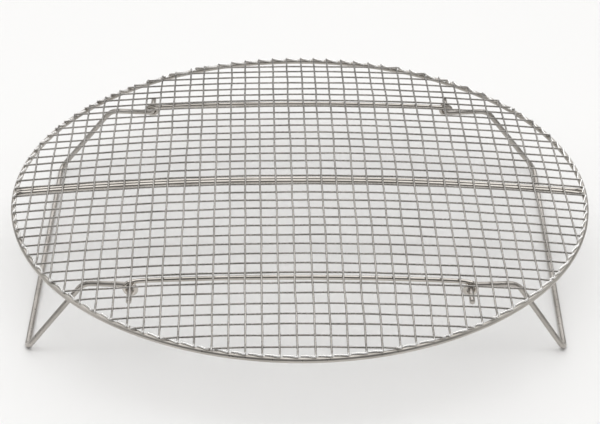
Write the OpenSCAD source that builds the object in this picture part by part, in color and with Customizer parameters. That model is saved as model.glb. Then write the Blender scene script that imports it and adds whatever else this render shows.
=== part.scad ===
// Round cooling rack: a domed mesh of thin wires welded over a thick rim wire, two rods across
// the middle, and two folding wire legs that hinge in eyes at the ends of the cross bars.
// Origin: the middle of the floor area under the open rack, +Z up, +Y towards the back.

/* [Mesh] */
// Distance between neighbouring wires that run from front to back
column_pitch = 12.15; // [11.6:0.05:12.2]
// Distance between neighbouring wires that run from side to side
row_pitch = 12.2; // [12.15:0.05:12.25]
// How far the front to back wires are turned out of square, in degrees
mesh_skew = 0.7; // [0:0.1:1.5]
// Diameter of a mesh wire
mesh_d = 1.5; // [1.2:0.1:1.8]
// Number of mesh wires on each side of the middle line
side_count = 18; // [14:1:18]
// How much higher the middle of the mesh is than its edge
dome_rise = 11.5; // [8:0.5:14]

/* [Rim] */
// Radius of the rim, to the middle of its wire
rim_r = 226.5; // [222:0.5:230]
// Diameter of the rim wire
rim_d = 4; // [3.5:0.1:4.5]
// Height of the rim wire's middle above the floor
rim_z = 57.4; // [52:0.2:62]

/* [Rods] */
// Diameter of the two middle rods and of the cross bars
rod_d = 3.6; // [3:0.1:3.8]
// Half the length of the straight part of a cross bar
bar_half = 116; // [114:1:118]
// Distance of each cross bar from the middle line
bar_y = 135.5; // [134.5:0.5:137]

/* [Legs] */
// Diameter of the leg wire
leg_d = 4.2; // [3.6:0.1:4.4]
// Distance of each hinge from the middle line
hinge_x = 125.5; // [124:0.5:127]
// Length of the arm from the hinge to the shoulder bend
arm_len = 35; // [32:1:37]
// Distance of each floor bar from the middle line
foot_x = 204; // [196:1:208]
// Distance of the leg's two sides from the middle line
leg_y = 132; // [130:0.5:132.5]
// Distance of the hinge pin's end from the middle line
pin_end_y = 155; // [150:1:158]
// Distance of the hinge eye from the middle line
eye_y = 137; // [136:0.5:137.5]
// Gap all round the hinge pin in its eye
eye_gap = 0.3; // [0.3:0.05:0.6]

/* [Hidden] */
weld_gap = 0.05;
stop_gap = 0.3;
knuckle = 1.04;
arc_fn = 1080;
wire_fn = 24;
rod_fn = 32;
// The mesh follows a ball of this radius, so that every wire is a plain arc.
dome_r = (pow(rim_r, 2) + pow(dome_rise, 2)) / (2 * dome_rise);
dome_z = rim_z + rim_d / 2 + weld_gap + mesh_d / 2 + dome_rise - dome_r;
// The front to back wires lie on top of the side to side wires, and the rods lie under both.
upper_r = dome_r + mesh_d + weld_gap;
rod_r = dome_r - mesh_d / 2 - rod_d / 2 - weld_gap;
rod_reach = rim_r - rim_d / 2 - weld_gap;
rod_y = rod_d / 2 + weld_gap;
eye_ring_r = leg_d / 2 + eye_gap + rod_d / 2;
arm_z = rim_z + rim_d / 2 + dome_drop(hinge_x + arm_len, leg_y) - leg_d / 2 - stop_gap;
bar_end_z = dome_z + sqrt(pow(rod_r, 2) - pow(bar_half, 2) - pow(bar_y, 2));

function dome_drop(x, y) = dome_rise * (1 - (x * x + y * y) / pow(rim_r, 2));
function two_digits(i) = i < 10 ? str("0", i) : str(i);
function flat_reach(offset, reach) = sqrt(pow(reach, 2) - pow(offset, 2));

// A round wire bent to an arc over the middle of the X axis, at a given distance from it.
module side_arc(offset, ball_r, half_len, d) {
    arc_r = sqrt(pow(ball_r, 2) - pow(offset, 2));
    half_angle = asin(half_len / arc_r);
    translate([0, offset, dome_z])
        rotate([90, 0, 0])
            rotate([0, 0, 90 - half_angle])
                rotate_extrude(angle = 2 * half_angle, $fn = arc_fn)
                    translate([arc_r, 0, 0])
                        circle(d = d, $fn = wire_fn);
}

// A straight round rod between two points.
module rod(from, to, d) {
    run = to - from;
    flat = norm([run[0], run[1]]);
    translate(from)
        rotate([0, atan2(flat, run[2]), atan2(run[1], run[0])])
            cylinder(h = norm(run), d = d, $fn = rod_fn);
}

// The rounded outside of a tight bend.
module bend(at, d) {
    translate(at)
        sphere(d = d * knuckle, $fn = rod_fn);
}

module rim() {
    color([0.76, 0.75, 0.73])
        translate([0, 0, rim_z])
            rotate_extrude($fn = 180)
                translate([rim_r, 0, 0])
                    circle(d = rim_d, $fn = rod_fn);
}

module middle_rod(side) {
    color([0.72, 0.71, 0.68])
        side_arc(side * rod_y, rod_r, flat_reach(rod_y, rod_reach), rod_d);
}

// The eye that the leg's hinge pin turns in, with the short slanted end of the bar that leads
// to its upper inner side.
module eye(side_x) {
    bar_end = [side_x * bar_half, bar_y, bar_end_z];
    eye_join = [side_x * (hinge_x - eye_ring_r * cos(30)), eye_y, rim_z + eye_ring_r * sin(30)];
    bend(bar_end, rod_d);
    rod(bar_end, eye_join, rod_d);
    bend(eye_join, rod_d);
    translate([side_x * hinge_x, eye_y, rim_z])
        rotate([90, 0, 0])
            rotate_extrude($fn = 48)
                translate([eye_ring_r, 0, 0])
                    circle(d = rod_d, $fn = wire_fn);
}

module cross_bar(side_y) {
    color([0.72, 0.71, 0.68])
        mirror([0, side_y < 0 ? 1 : 0, 0]) {
            side_arc(bar_y, rod_r, bar_half, rod_d);
            eye(1);
            eye(-1);
        }
}

// One side of a leg: hinge pin, arm and slanted leg down to the floor bar.
module leg_side(side_y) {
    pin_tip = [hinge_x, side_y * pin_end_y, rim_z];
    pin_root = [hinge_x, side_y * leg_y, rim_z];
    shoulder = [hinge_x + arm_len, side_y * leg_y, arm_z];
    foot = [foot_x, side_y * leg_y, leg_d / 2 * knuckle];
    rod(pin_tip, pin_root, leg_d);
    bend(pin_root, leg_d);
    rod(pin_root, shoulder, leg_d);
    bend(shoulder, leg_d);
    rod(shoulder, foot, leg_d);
    bend(foot, leg_d);
}

module leg(side_x) {
    color([0.70, 0.68, 0.65])
        mirror([side_x < 0 ? 1 : 0, 0, 0]) {
            leg_side(1);
            leg_side(-1);
            rod([foot_x, -leg_y, leg_d / 2 * knuckle], [foot_x, leg_y, leg_d / 2 * knuckle], leg_d);
        }
}

// The pair of lower wires that run from side to side, at the same distance in front and behind.
module side_to_side_wires(i) {
    offset = (i - 0.5) * row_pitch;
    color([0.78, 0.77, 0.75])
        for (side = [-1, 1])
            side_arc(side * offset, dome_r, flat_reach(offset, rim_r), mesh_d);
}

// The pair of upper wires that run from front to back, at the same distance left and right.
module front_to_back_wires(i) {
    offset = (i - 0.5) * column_pitch;
    color([0.80, 0.79, 0.77])
        rotate([0, 0, 90 + mesh_skew])
            for (side = [-1, 1])
                side_arc(side * offset, upper_r, flat_reach(offset, rim_r), mesh_d);
}

rim();
middle_rod(-1);  // middle_rod_front
middle_rod(1);  // middle_rod_back
cross_bar(-1);  // cross_bar_front
cross_bar(1);  // cross_bar_back
leg(-1);  // leg_left
leg(1);  // leg_right
for (i = [1:side_count])
    front_to_back_wires(i);
for (i = [1:side_count])
    side_to_side_wires(i);
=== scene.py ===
import math
import random

import bpy
import numpy as np
from mathutils import Matrix, Vector


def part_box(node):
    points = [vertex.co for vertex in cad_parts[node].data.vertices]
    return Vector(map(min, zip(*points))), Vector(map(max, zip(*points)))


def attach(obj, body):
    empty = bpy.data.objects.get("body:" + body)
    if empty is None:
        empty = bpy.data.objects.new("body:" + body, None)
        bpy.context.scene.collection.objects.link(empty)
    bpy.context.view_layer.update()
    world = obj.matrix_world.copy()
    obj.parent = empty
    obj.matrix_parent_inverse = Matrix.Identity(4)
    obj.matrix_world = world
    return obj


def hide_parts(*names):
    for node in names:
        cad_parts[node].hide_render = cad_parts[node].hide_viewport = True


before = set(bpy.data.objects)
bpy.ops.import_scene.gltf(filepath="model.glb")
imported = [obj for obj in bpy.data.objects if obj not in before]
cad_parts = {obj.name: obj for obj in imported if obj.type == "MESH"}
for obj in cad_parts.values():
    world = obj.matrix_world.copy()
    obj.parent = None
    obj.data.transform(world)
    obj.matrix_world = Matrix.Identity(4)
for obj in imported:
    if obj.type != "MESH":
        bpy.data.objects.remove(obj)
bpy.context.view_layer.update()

# A round wire cooling rack. Every wire is swept along its own path: the mesh wires follow the
# dome, bend down over the rim and run along it, and the legs and bars have real bends.

MM = 0.001
RNG = random.Random(41)

# Places and sizes read from the frame.
rim_low, rim_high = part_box("rim")
RIM_WIRE_R = (rim_high[2] - rim_low[2]) / 2
RIM_R = rim_high[0] - RIM_WIRE_R
RIM_Z = (rim_high[2] + rim_low[2]) / 2
ROW_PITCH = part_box("side_to_side_wires_02")[1][1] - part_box("side_to_side_wires_01")[1][1]
COLUMN_PITCH = 12.15 * MM
WIRE_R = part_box("side_to_side_wires_01")[1][1] - ROW_PITCH / 2
APEX_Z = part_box("side_to_side_wires_01")[1][2] - WIRE_R
UPPER_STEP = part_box("front_to_back_wires_01")[1][2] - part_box("side_to_side_wires_01")[1][2]
SIDE_COUNT = sum(1 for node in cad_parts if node.startswith("side_to_side_wires_"))
DOME_RISE = APEX_Z - (RIM_Z + RIM_WIRE_R + WIRE_R)
DOME_R = (RIM_R ** 2 + DOME_RISE ** 2) / (2 * DOME_RISE)
DOME_Z = APEX_Z - DOME_R

rod_low, rod_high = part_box("middle_rod_back")
ROD_R = (rod_high[1] - rod_low[1]) / 2
ROD_Y = (rod_high[1] + rod_low[1]) / 2
ROD_REACH = rod_high[0]
ROD_APEX_Z = rod_high[2] - ROD_R

bar_low, bar_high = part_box("cross_bar_back")
BAR_SET_IN = 2.0 * MM
BAR_Y = bar_low[1] + ROD_R - BAR_SET_IN
BAR_HALF = 108 * MM
EYE_Y = bar_high[1] - ROD_R

leg_low, leg_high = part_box("leg_right")
LEG_R = 2.1 * MM
HINGE_X = 125.5 * MM
ARM = 35 * MM
LEG_Y = 132 * MM
FOOT_X = leg_high[0] - LEG_R
PIN_END_Y = leg_high[1]
EYE_RING_R = bar_high[0] - HINGE_X - ROD_R
PIN_BEND = 3.6 * MM
SHOULDER_BEND = 12.0 * MM
FOOT_BEND = 6.0 * MM
ARM_GAP = 0.3 * MM

# Small irregularities of a hand-loaded welding jig: how much closer than drawn the mesh settled,
# the random errors of each wire, and how far the mesh layers and the rods lie shifted and turned.
SETTLED = 0.992
SPACING_ERROR = 0.35 * MM
WANDER = 0.22 * MM
SET_DOWN = 0.16 * MM
COLUMN_SHIFT = -0.9 * MM
ROW_SHIFT = -3.9 * MM
ROD_SHIFT = -2.8 * MM
ROD_LIFT = 1.45 * MM
ROW_TURN = math.radians(0.4)
COLUMN_TURN = math.radians(1.15)

# The way each mesh layer's wires run, and the way their distances from the middle are counted.
ROW_WAY = (Vector((math.cos(ROW_TURN), math.sin(ROW_TURN), 0)),
           Vector((-math.sin(ROW_TURN), math.cos(ROW_TURN), 0)))
COLUMN_WAY = (Vector((-math.sin(COLUMN_TURN), math.cos(COLUMN_TURN), 0)),
              Vector((math.cos(COLUMN_TURN), math.sin(COLUMN_TURN), 0)))


# ---------------------------------------------------------------- paths

def dome_height(x, y, lift=0.0):
    """Height of the dome's wire middle at a place, or of a shell that lies lift above it."""
    return DOME_Z + math.sqrt((DOME_R + lift) ** 2 - x * x - y * y)


def smooth(points, rounds=3):
    """Cuts the corners of an open path again and again, which rounds its bends."""
    for _ in range(rounds):
        cut = [points[0]]
        for a, b in zip(points, points[1:]):
            cut.append(a.lerp(b, 0.25))
            cut.append(a.lerp(b, 0.75))
        cut.append(points[-1])
        points = cut
    return points


def filleted(points, radii, step=math.radians(9)):
    """An open path with each corner replaced by an arc of its own radius."""
    out = [points[0]]
    for before, corner, after, radius in zip(points, points[1:], points[2:], radii):
        back = (before - corner).normalized()
        on = (after - corner).normalized()
        turn = math.pi - back.angle(on)
        if turn < math.radians(1):
            out.append(corner)
            continue
        set_back = radius * math.tan(turn / 2)
        centre = corner + (back + on).normalized() * (radius / math.cos(turn / 2))
        start = corner + back * set_back
        arm = start - centre
        axis = back.cross(on).normalized()
        count = max(3, round(turn / step))
        for i in range(count + 1):
            out.append(centre + Matrix.Rotation(-turn * i / count, 3, axis) @ arm)
    out.append(points[-1])
    return out


def wander_curve(reach):
    """A slow sideways drift along a wire, as a function of the distance from its middle."""
    phases = [RNG.uniform(0, 2 * math.pi) for _ in range(3)]
    shares = [RNG.uniform(0.4, 1.0) for _ in range(3)]
    lengths = (0.31, 0.13, 0.058)

    def drift(s):
        total = 0.0
        for phase, share, length in zip(phases, shares, lengths):
            total += share * math.sin(2 * math.pi * s / length + phase)
        return WANDER * total * min(1.0, (reach - abs(s)) / 0.02)

    return drift


# ---------------------------------------------------------------- swept wires

def sweep(path, radius, sides, swell=None, painted_highlight=None, tip=0.35):
    """Vertices, faces and per-vertex weld and painted-highlight values of one closed tube along a
    path.
    """
    pts = np.array([tuple(p) for p in path])
    swell = np.ones(len(pts)) if swell is None else np.array(swell)
    painted_highlight = np.zeros(len(pts)) if painted_highlight is None else np.array(painted_highlight)
    tangents = np.gradient(pts, axis=0)
    tangents /= np.linalg.norm(tangents, axis=1)[:, None]
    side = np.cross(tangents[0], (0.0, 0.0, 1.0))
    if np.linalg.norm(side) < 1e-3:
        side = np.array((0.0, 1.0, 0.0))
    side /= np.linalg.norm(side)
    angles = np.arange(sides) * 2 * math.pi / sides
    rings = []
    frames = []
    for tangent in tangents:
        side = side - tangent * side.dot(tangent)
        side /= np.linalg.norm(side)
        frames.append((side.copy(), np.cross(tangent, side)))
    cap = ((1.0, 0.0), (0.82, 0.7), (0.45, 1.0))
    stations = [(0, -tip * out, size) for size, out in reversed(cap[1:])]
    stations += [(i, 0.0, 1.0) for i in range(len(pts))]
    stations += [(len(pts) - 1, tip * out, size) for size, out in cap[1:]]
    marks = []
    for i, out, size in stations:
        u, v = frames[i]
        centre = pts[i] + tangents[i] * out * radius
        ring_r = radius * size * swell[i]
        rings.append(centre + ring_r * (np.outer(np.cos(angles), u) + np.outer(np.sin(angles), v)))
        marks += [(max(0.0, swell[i] - 1.0) * 8, painted_highlight[i])] * sides
    verts = np.concatenate(rings + [pts[:1] - tangents[0] * tip * radius,
                                    pts[-1:] + tangents[-1] * tip * radius])
    marks += [(0.0, painted_highlight[0]), (0.0, painted_highlight[-1])]
    faces = []
    for ring in range(len(rings) - 1):
        for k in range(sides):
            a = ring * sides + k
            b = ring * sides + (k + 1) % sides
            faces.append((a, b, b + sides, a + sides))
    first, last = len(verts) - 2, len(verts) - 1
    top = (len(rings) - 1) * sides
    for k in range(sides):
        faces.append((first, (k + 1) % sides, k))
        faces.append((last, top + k, top + (k + 1) % sides))
    return verts, faces, marks


def closed_ring(radius, wire_r, z, around, sides):
    """Vertices and faces of the rim: a ring whose wire has a slight hand-bent unevenness."""
    verts, faces = [], []
    for i in range(around):
        turn = 2 * math.pi * i / around
        uneven = 0.10 * MM * math.sin(3 * turn + 0.7) + 0.06 * MM * math.sin(7 * turn)
        for k in range(sides):
            tilt = 2 * math.pi * k / sides
            r = radius + uneven + wire_r * math.cos(tilt)
            verts.append((r * math.cos(turn), r * math.sin(turn), z + wire_r * math.sin(tilt)))
            nxt = (i + 1) % around
            k2 = (k + 1) % sides
            faces.append((i * sides + k, nxt * sides + k, nxt * sides + k2, i * sides + k2))
    return verts, faces, [(0.0, 0.0)] * len(verts)


def piece(name, shells, node, body, material):
    """One smooth-shaded object made of separate closed shells, standing for a CAD node."""
    verts, faces, marks = [], [], []
    for shell_verts, shell_faces, shell_marks in shells:
        base = len(verts)
        verts += [tuple(v) for v in shell_verts]
        faces += [tuple(i + base for i in face) for face in shell_faces]
        marks += shell_marks
    mesh = bpy.data.meshes.new(name)
    mesh.from_pydata(verts, [], faces)
    mesh.polygons.foreach_set("use_smooth", [True] * len(faces))
    # Weld marks and the painted highlight of the wire ends are stored as two point attributes.
    for k, label in enumerate(("weld", "painted_highlight")):
        layer = mesh.attributes.new(label, "FLOAT", "POINT")
        layer.data.foreach_set("value", [mark[k] for mark in marks])
    mesh.materials.append(material)
    mesh.update()
    obj = bpy.data.objects.new(name, mesh)
    bpy.context.scene.collection.objects.link(obj)
    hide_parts(node)
    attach(obj, body)
    return obj


# ---------------------------------------------------------------- materials

def plated_wire(name, colour, dull_colour, roughness, stretch):
    """Plated steel: clouded tone, fine drawn marks, duller and rougher at the welds.

    The attribute weld is highest at a weld. The other attribute is 1 at the mesh wires' ends,
    where the colour is raised to near white as a painted highlight.
    """
    material = bpy.data.materials.new(name)
    material.use_nodes = True
    nodes = material.node_tree.nodes
    links = material.node_tree.links
    shader = nodes["Principled BSDF"]
    shader.inputs["Metallic"].default_value = 1.0
    shader.inputs["Specular IOR Level"].default_value = 0.5

    place = nodes.new("ShaderNodeTexCoord")

    def noise(scale, detail, squeeze=(1, 1, 1)):
        mapping = nodes.new("ShaderNodeMapping")
        mapping.inputs["Scale"].default_value = squeeze
        texture = nodes.new("ShaderNodeTexNoise")
        texture.inputs["Scale"].default_value = scale
        texture.inputs["Detail"].default_value = detail
        links.new(place.outputs["Object"], mapping.inputs["Vector"])
        links.new(mapping.outputs["Vector"], texture.inputs["Vector"])
        return texture.outputs["Fac"]

    cloud = noise(38, 3)
    marks = noise(2600, 4, stretch)
    specks = noise(420, 2)

    tone = nodes.new("ShaderNodeMapRange")
    tone.inputs["From Min"].default_value = 0.38
    tone.inputs["From Max"].default_value = 0.68
    links.new(cloud, tone.inputs["Value"])
    weld = nodes.new("ShaderNodeAttribute")
    weld.attribute_name = "weld"
    dulled = nodes.new("ShaderNodeMath")
    dulled.operation = "MAXIMUM"
    dulled.use_clamp = True
    painted_highlight = nodes.new("ShaderNodeAttribute")
    painted_highlight.attribute_name = "painted_highlight"
    # Painted highlight: where the wire-end attribute is 1, the colour is mixed to near white.
    highlight_mix = nodes.new("ShaderNodeMix")
    highlight_mix.data_type = "RGBA"
    highlight_mix.inputs["B"].default_value = (0.92, 0.91, 0.89, 1)
    links.new(tone.outputs["Result"], dulled.inputs[0])
    links.new(weld.outputs["Fac"], dulled.inputs[1])
    tint = nodes.new("ShaderNodeMix")
    tint.data_type = "RGBA"
    tint.inputs["A"].default_value = (*colour, 1)
    tint.inputs["B"].default_value = (*dull_colour, 1)
    links.new(dulled.outputs["Value"], tint.inputs["Factor"])
    links.new(tint.outputs["Result"], highlight_mix.inputs["A"])
    links.new(painted_highlight.outputs["Fac"], highlight_mix.inputs["Factor"])
    links.new(highlight_mix.outputs["Result"], shader.inputs["Base Color"])

    rough = nodes.new("ShaderNodeMapRange")
    rough.inputs["From Min"].default_value = 0.3
    rough.inputs["From Max"].default_value = 0.75
    rough.inputs["To Min"].default_value = roughness - 0.07
    rough.inputs["To Max"].default_value = roughness + 0.12
    links.new(specks, rough.inputs["Value"])
    rougher = nodes.new("ShaderNodeMath")
    rougher.operation = "MULTIPLY_ADD"
    rougher.inputs[1].default_value = 0.12
    links.new(weld.outputs["Fac"], rougher.inputs[0])
    links.new(rough.outputs["Result"], rougher.inputs[2])
    links.new(rougher.outputs["Value"], shader.inputs["Roughness"])

    bump = nodes.new("ShaderNodeBump")
    bump.inputs["Strength"].default_value = 0.22
    bump.inputs["Distance"].default_value = 0.06 * MM
    links.new(marks, bump.inputs["Height"])
    links.new(bump.outputs["Normal"], shader.inputs["Normal"])
    return material


ALONG_X = (0.06, 1, 1)
ALONG_Y = (1, 0.06, 1)
EVEN = (1, 1, 1)
MESH_COLOUR = (0.41, 0.392, 0.368)
MESH_DULL = (0.285, 0.271, 0.252)
lower_metal = plated_wire("mesh_wire_lower", MESH_COLOUR, MESH_DULL, 0.24, ALONG_X)
upper_metal = plated_wire("mesh_wire_upper", MESH_COLOUR, MESH_DULL, 0.24, ALONG_Y)
rim_metal = plated_wire("rim_wire", (0.52, 0.49, 0.45), (0.43, 0.405, 0.37), 0.34, EVEN)
rod_metal = plated_wire("rod_wire", (0.60, 0.565, 0.52), (0.48, 0.45, 0.41), 0.15, ALONG_X)
leg_metal = plated_wire("leg_wire", (0.52, 0.49, 0.455), (0.40, 0.375, 0.345), 0.32, EVEN)


# ---------------------------------------------------------------- mesh wires

rows = {}
columns = {}
for i in range(1, SIDE_COUNT + 1):
    for side in (-1, 1):
        rows[i, side] = (side * (i - 0.5) * ROW_PITCH * SETTLED + ROW_SHIFT
                         + RNG.gauss(0, SPACING_ERROR))
        columns[i, side] = (side * (i - 0.5) * COLUMN_PITCH * SETTLED + COLUMN_SHIFT
                            + RNG.gauss(0, SPACING_ERROR))


def end_place(way, offset, sign):
    """Where a wire's middle line crosses the rim's."""
    along, across = way
    return across * offset + along * (sign * math.sqrt(RIM_R ** 2 - offset ** 2))


def angle_of(place):
    return math.atan2(place.y, place.x) % (2 * math.pi)


# Every wire end meets the rim at an angle; the tails between them depend on these.
end_angles = sorted(angle_of(end_place(way, offset, sign))
                    for way, places in ((ROW_WAY, rows), (COLUMN_WAY, columns))
                    for offset in places.values() for sign in (-1, 1))

SHARPEST_TURN = math.radians(141)
LONGEST_TAIL = 10.5 * MM
SHORTEST_TAIL = 3.0 * MM
BACKWARD_TAIL = 4.5 * MM
TAIL_CLEAR = 1.9 * MM
CREST_OUT = 0.7 * MM
CREST_LIFT = 0.35 * MM


def tail_length(angle, clockwise):
    """How far a tail can run along the rim before the next wire's end."""
    if not clockwise:
        return BACKWARD_TAIL
    gaps = [(angle - other) % (2 * math.pi) for other in end_angles]
    nearest = min(gap for gap in gaps if gap > 1e-6)
    return max(SHORTEST_TAIL, min(LONGEST_TAIL, nearest * RIM_R - TAIL_CLEAR))


def on_rim(angle, inward):
    """A point where a mesh wire touches the rim wire from above, a distance in from its crest."""
    reach = RIM_WIRE_R + WIRE_R
    r = RIM_R - inward
    rise = math.sqrt(reach ** 2 - inward ** 2)
    return Vector((r * math.cos(angle), r * math.sin(angle), RIM_Z + rise))


def wire_end(last, direction, angle):
    """Path from a wire's last straight point over the rim's crest and along the rim.

    The tail runs clockwise along the rim, unless the wire would have to turn back on itself.
    """
    clockwise_way = Vector((math.sin(angle), -math.cos(angle), 0))
    clockwise = direction.angle(clockwise_way) < SHARPEST_TURN
    turn = -1 if clockwise else 1
    length = tail_length(angle, clockwise)
    crest = on_rim(angle, -CREST_OUT)
    crest.z += CREST_LIFT
    control = [last, crest - direction * 3.2 * MM, crest]
    control[1].z = max(control[1].z, crest.z + 0.1 * MM)
    for share, inward in ((0.22, 0.3), (0.55, 1.3), (1.0, 1.9)):
        control.append(on_rim(angle + turn * share * length / RIM_R, inward * MM))
    return smooth(control, 3)[1:]


def crossings_with(way, offset, other_way, places):
    """Distances along a wire at which it crosses the other layer's wires."""
    along, across = way
    other = other_way[1]
    return sorted((place - offset * across.dot(other)) / along.dot(other) for place in places)


def crossing_stations(reach, crossings):
    """Distances along a wire with its thickness there, which swells a little at each weld."""
    stations = {}
    for crossing in crossings:
        for step in (-1.7, -0.8, 0.0, 0.8, 1.7):
            s = crossing + step * MM
            if abs(s) < reach:
                swell = 0.075 if step == 0.0 else 0.03 if abs(step) < 1 else 0.0
                stations[round(s, 6)] = 1.0 + swell
    for a, b in zip(sorted(crossings), sorted(crossings)[1:]):
        if abs(a + b) / 2 < reach:
            stations[round((a + b) / 2, 6)] = 1.0
    return sorted(stations.items())


def mesh_wire(way, offset, lift, settle, crossings):
    """One domed mesh wire with both its ends bent over the rim."""
    along, across = way
    reach = math.sqrt(RIM_R ** 2 - offset ** 2) - 7.5 * MM
    drift = wander_curve(reach)
    path, swell, painted_highlight = [], [], []
    for s, size in crossing_stations(reach, crossings):
        place = along * s + across * (offset + drift(s))
        place.z = dome_height(place.x, place.y, lift) + settle
        path.append(place)
        swell.append(size)
        painted_highlight.append(0.0)
    for sign in (-1, 1):
        angle = angle_of(end_place(way, offset, sign))
        tail = wire_end(path[0 if sign < 0 else -1], along * sign, angle)
        steps = len(tail)
        # Painted highlight: the colour of the last part of each tail ramps up to near white, so
        # that it looks lit.
        highlight_ramp = [min(1.0, max(0.0, 5 * (n + 1) / steps - 1.4)) for n in range(steps)]
        if sign < 0:
            path = tail[::-1] + path
            swell = [1.0] * steps + swell
            painted_highlight = highlight_ramp[::-1] + painted_highlight
        else:
            path += tail
            swell += [1.0] * steps
            painted_highlight += highlight_ramp
    return sweep(path, WIRE_R, 10, swell, painted_highlight)


def row(offset):
    crossings = crossings_with(ROW_WAY, offset, COLUMN_WAY, columns.values())
    return mesh_wire(ROW_WAY, offset, 0.0, SET_DOWN / 2, crossings)


def column(offset):
    crossings = crossings_with(COLUMN_WAY, offset, ROW_WAY, rows.values())
    return mesh_wire(COLUMN_WAY, offset, UPPER_STEP, -SET_DOWN / 2, crossings)


for i in range(1, SIDE_COUNT + 1):
    piece(f"lower_mesh_wires_{i:02d}", [row(rows[i, side]) for side in (-1, 1)],
          f"side_to_side_wires_{i:02d}", "rack", lower_metal)
    piece(f"upper_mesh_wires_{i:02d}", [column(columns[i, side]) for side in (-1, 1)],
          f"front_to_back_wires_{i:02d}", "rack", upper_metal)


# ---------------------------------------------------------------- rim, rods and cross bars

piece("rim_ring", [closed_ring(RIM_R, RIM_WIRE_R, RIM_Z, 360, 20)],
      "rim", "rack", rim_metal)


def rod_height(x, y):
    """Height of a rod's or a bar's middle under the dome."""
    return ROD_APEX_Z + dome_height(x, y) - dome_height(0, ROD_Y)


def middle_rod(side):
    """A rod across the full width, close to its twin on the left and spread on the right."""
    path = []
    count = 75
    for n in range(count):
        x = -ROD_REACH + 2 * ROD_REACH * n / (count - 1)
        left = max(0.0, 1 - (x + ROD_REACH) / (9 * MM))
        right = max(0.0, 1 - (ROD_REACH - x) / (14 * MM))
        y = ROD_SHIFT + side * (ROD_Y + 1.3 * MM * right ** 2 - 0.12 * MM * left)
        y += x * math.tan(ROW_TURN / 2)
        path.append(Vector((x, y, rod_height(x, y) + ROD_LIFT)))
    return sweep(path, ROD_R, 16)


piece("middle_rod_front_wire", [middle_rod(-1)], "middle_rod_front", "rack", rod_metal)
piece("middle_rod_back_wire", [middle_rod(1)], "middle_rod_back", "rack", rod_metal)


def eye_curl(side_x, side_y):
    """Path of a bar's end: slanted out to the hinge, then curled once round the pin."""
    curl = []
    turns = math.radians(330)
    count = 40
    for n in range(count + 1):
        share = n / count
        angle = math.pi / 2 - turns * share
        y = EYE_Y + (share - 0.5) * 2 * ROD_R * 0.98
        x = HINGE_X + EYE_RING_R * math.cos(angle)
        curl.append(Vector((side_x * x, side_y * y, RIM_Z + EYE_RING_R * math.sin(angle))))
    return curl


def cross_bar(side_y):
    """A bar under the mesh whose two ends are bent out and curled into hinge eyes."""
    straight = []
    count = 41
    for n in range(count):
        x = -BAR_HALF + 2 * BAR_HALF * n / (count - 1)
        straight.append(Vector((x, side_y * BAR_Y, rod_height(x, BAR_Y))))
    left = eye_curl(-1, side_y)
    right = eye_curl(1, side_y)
    right_bend = smooth([straight[-1], straight[-1] + Vector((3.5 * MM, 0, -0.2 * MM)),
                         right[0] - Vector((4.5 * MM, side_y * 2.0 * MM, 0)), right[0]], 3)
    left_bend = [Vector((-p.x, p.y, p.z)) for p in right_bend]
    path = left[::-1] + left_bend[::-1][1:-1] + straight + right_bend[1:-1] + right
    return sweep(path, ROD_R, 16)


piece("cross_bar_front_wire", [cross_bar(-1)], "cross_bar_front", "rack", rod_metal)
piece("cross_bar_back_wire", [cross_bar(1)], "cross_bar_back", "rack", rod_metal)


# ---------------------------------------------------------------- legs

def leg(side_x, front_splay, back_splay):
    """One folding leg: pin, arm, slanted side, floor bar, and the same again at the back.

    A splay is how far that foot has been bent outward and forward of its drawn place.
    """
    shoulder_z = RIM_Z + RIM_WIRE_R + DOME_RISE * (
        1 - ((HINGE_X + ARM) ** 2 + LEG_Y ** 2) / RIM_R ** 2) - LEG_R - ARM_GAP
    corners = []
    for side_y, (out, forward) in ((1, back_splay), (-1, front_splay)):
        half = [Vector((HINGE_X, side_y * (PIN_END_Y - 0.35 * LEG_R), RIM_Z)),
                Vector((HINGE_X, side_y * LEG_Y, RIM_Z)),
                Vector((HINGE_X + ARM, side_y * LEG_Y, shoulder_z)),
                Vector((FOOT_X + out, side_y * LEG_Y - forward, LEG_R))]
        corners += half if side_y > 0 else half[::-1]
    half_bends = [PIN_BEND, SHOULDER_BEND, FOOT_BEND]
    path = filleted(corners, half_bends + half_bends[::-1])
    dense = [path[0]]
    for a, b in zip(path, path[1:]):
        count = max(1, round((b - a).length / (6 * MM)))
        dense += [a.lerp(b, n / count) for n in range(1, count + 1)]
    return sweep([Vector((side_x * p.x, p.y, p.z)) for p in dense], LEG_R, 20)


LEFT_SPLAY = ((1.5 * MM, 3.2 * MM), (2.0 * MM, -2.0 * MM))
RIGHT_SPLAY = ((-5.0 * MM, 4.0 * MM), (0.0, 0.0))
piece("leg_left_wire", [leg(-1, *LEFT_SPLAY)], "leg_left", "left_leg", leg_metal)
piece("leg_right_wire", [leg(1, *RIGHT_SPLAY)], "leg_right", "right_leg", leg_metal)


# ---------------------------------------------------------------- floor, light and camera

def plain_floor():
    """A large pale matt floor, which is also the backdrop."""
    mesh = bpy.data.meshes.new("floor")
    half = 6.0
    mesh.from_pydata([(-half, -half, 0), (half, -half, 0), (half, half, 0), (-half, half, 0)],
                     [], [(0, 1, 2, 3)])
    material = bpy.data.materials.new("floor_white")
    material.use_nodes = True
    shader = material.node_tree.nodes["Principled BSDF"]
    shader.inputs["Base Color"].default_value = (0.83, 0.825, 0.815, 1)
    shader.inputs["Roughness"].default_value = 0.9
    shader.inputs["Specular IOR Level"].default_value = 0.1
    mesh.materials.append(material)
    obj = bpy.data.objects.new("floor", mesh)
    bpy.context.scene.collection.objects.link(obj)


def soft_light(name, place, target, width, height, power):
    """A soft box that faces a target."""
    data = bpy.data.lights.new(name, "AREA")
    data.shape = "RECTANGLE"
    data.size = width
    data.size_y = height
    data.energy = power
    lamp = bpy.data.objects.new(name, data)
    lamp.location = place
    lamp.rotation_euler = (Vector(target) - Vector(place)).to_track_quat("-Z", "Y").to_euler()
    bpy.context.scene.collection.objects.link(lamp)
    return lamp


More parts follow.
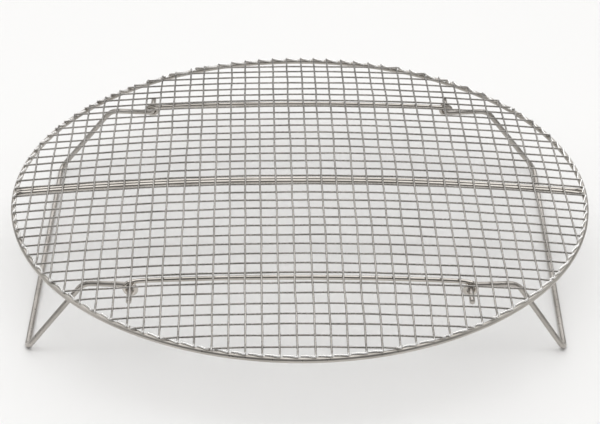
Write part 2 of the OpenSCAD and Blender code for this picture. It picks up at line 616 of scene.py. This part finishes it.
def studio():
    """Soft boxes overhead, behind and at the sides, and a dim grey room.

    The front box isn't reflected, so that the wires keep a dark line towards the camera.
    """
    soft_light("key_box", (0.0, 0.6, 2.5), (0, 0, 0), 3.0, 3.0, 37)
    fill = soft_light("front_fill", (0.0, -1.2, 2.4), (0, -0.2, 0), 2.8, 2.8, 38)
    fill.visible_glossy = False
    soft_light("back_box", (0.0, 3.0, 2.05), (0, 0, 0.4), 5.0, 2.1, 41)
    soft_light("left_box", (-2.4, 0.1, 1.5), (0, 0, 0), 1.8, 1.8, 12)
    soft_light("right_box", (2.4, 0.1, 1.5), (0, 0, 0), 1.8, 1.8, 10)
    world = bpy.data.worlds.new("room")
    world.use_nodes = True
    backdrop = world.node_tree.nodes["Background"]
    backdrop.inputs["Color"].default_value = (0.92, 0.92, 0.93, 1)
    backdrop.inputs["Strength"].default_value = 0.20
    bpy.context.scene.world = world
    bpy.context.scene.view_settings.view_transform = "Standard"


def camera():
    """A long lens from the front, 31 degrees above the rack."""
    turned = math.radians(-0.53)
    elevation = math.radians(31.166)
    tilt = math.radians(31.735)
    pan = math.radians(-0.195)
    roll = math.radians(0.249)
    outer_r = RIM_R + RIM_WIRE_R
    distance = 6.843 * outer_r
    place = Vector((0.0207 * outer_r, -distance * math.cos(elevation),
                    distance * math.sin(elevation)))
    forward = Vector((math.sin(pan) * math.cos(tilt), math.cos(pan) * math.cos(tilt),
                      -math.sin(tilt)))
    right = Vector((math.cos(pan), -math.sin(pan), 0))
    up = right.cross(forward)
    rolled_right = right * math.cos(roll) + up * math.sin(roll)
    rolled_up = up * math.cos(roll) - right * math.sin(roll)
    pose = Matrix((rolled_right, rolled_up, -forward)).transposed().to_4x4()
    pose.translation = place
    data = bpy.data.cameras.new("camera")
    data.sensor_width = 36
    data.lens = 117.73
    obj = bpy.data.objects.new("camera", data)
    lift = Matrix.Translation((0, 0, RIM_Z))
    obj.matrix_world = lift @ Matrix.Rotation(turned, 4, "Z") @ pose
    bpy.context.scene.collection.objects.link(obj)
    bpy.context.scene.camera = obj


plain_floor()
studio()
camera()

bpy.context.view_layer.update()
